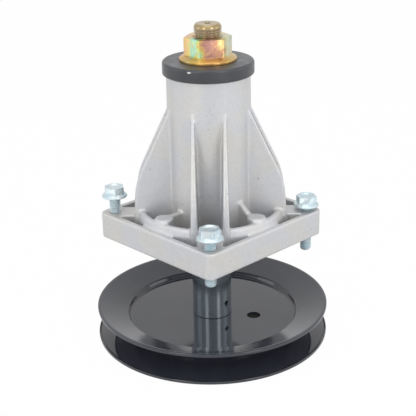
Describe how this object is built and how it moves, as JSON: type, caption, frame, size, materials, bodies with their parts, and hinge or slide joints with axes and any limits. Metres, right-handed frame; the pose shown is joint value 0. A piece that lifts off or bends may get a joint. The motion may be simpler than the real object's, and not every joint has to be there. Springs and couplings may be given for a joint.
{
  "type": "mower deck spindle",
  "caption": "Cast spindle housing with ribbed tube and square flange, a shaft that turns on ball bearings, a belt pulley at one end and a blade nut at the other.",
  "frame": {"origin": "on the spindle's axis, at the lower rim of the pulley, which is what the part stands on", "axes": "+Z along the spindle's axis from the pulley to the blade nut; X and Y square to the sides of the flange"},
  "size_m": [0.168, 0.168, 0.2273],
  "materials": {
    "cast_aluminium": "as cast, satin",
    "gloss_black": "gloss black",
    "satin_black": "satin black",
    "dark_zinc": "dark blue zinc",
    "bright_zinc": "blue-white zinc",
    "yellow_zinc": "yellow zinc, iridescent",
    "shaft_steel": "turned, yellow zinc",
    "black_oxide": "black oxide",
    "bearing_steel": "ground",
    "seal_rubber": "matte"
  },
  "bodies": {
    "housing_body": {"housing": "cast_aluminium", "mounting_screw_front": "bright_zinc", "mounting_screw_right": "bright_zinc", "mounting_screw_back": "bright_zinc", "mounting_screw_left": "bright_zinc", "pulley_bearing_outer_ring": "bearing_steel", "pulley_bearing_lower_seal": "seal_rubber", "pulley_bearing_upper_seal": "seal_rubber", "blade_bearing_outer_ring": "bearing_steel", "blade_bearing_lower_seal": "seal_rubber", "blade_bearing_upper_seal": "seal_rubber"},
    "rotor": {"shaft": "shaft_steel", "pulley_upper_half": "gloss_black", "pulley_lower_half": "gloss_black", "pulley_sleeve": "dark_zinc", "sleeve_set_screw": "black_oxide", "pulley_washer": "bright_zinc", "pulley_bolt": "bright_zinc", "bearing_spacer": "shaft_steel", "blade_disc": "satin_black", "blade_key": "shaft_steel", "blade_nut": "yellow_zinc", "pulley_bearing_inner_ring": "bearing_steel", "blade_bearing_inner_ring": "bearing_steel"},
    "pulley_ball_set": {"pulley_bearing_balls": "bearing_steel", "pulley_bearing_cage": "bearing_steel"},
    "blade_ball_set": {"blade_bearing_balls": "bearing_steel", "blade_bearing_cage": "bearing_steel"}
  },
  "joints": [
    {"name": "spindle_spin", "type": "hinge", "parent": "housing_body", "child": "rotor", "pos_m": [0, 0, 0.1], "axis": [0, 0, 1], "continuous": true},
    {"name": "pulley_bearing_roll", "type": "hinge", "parent": "housing_body", "child": "pulley_ball_set", "pos_m": [0, 0, 0.0828], "axis": [0, 0, 1], "continuous": true},
    {"name": "blade_bearing_roll", "type": "hinge", "parent": "housing_body", "child": "blade_ball_set", "pos_m": [0, 0, 0.1876], "axis": [0, 0, 1], "continuous": true}
  ],
  "couplings": [
    {"joint": "pulley_bearing_roll", "follows": "spindle_spin", "ratio": 0.38209},
    {"joint": "blade_bearing_roll", "follows": "spindle_spin", "ratio": 0.38209}
  ]
}
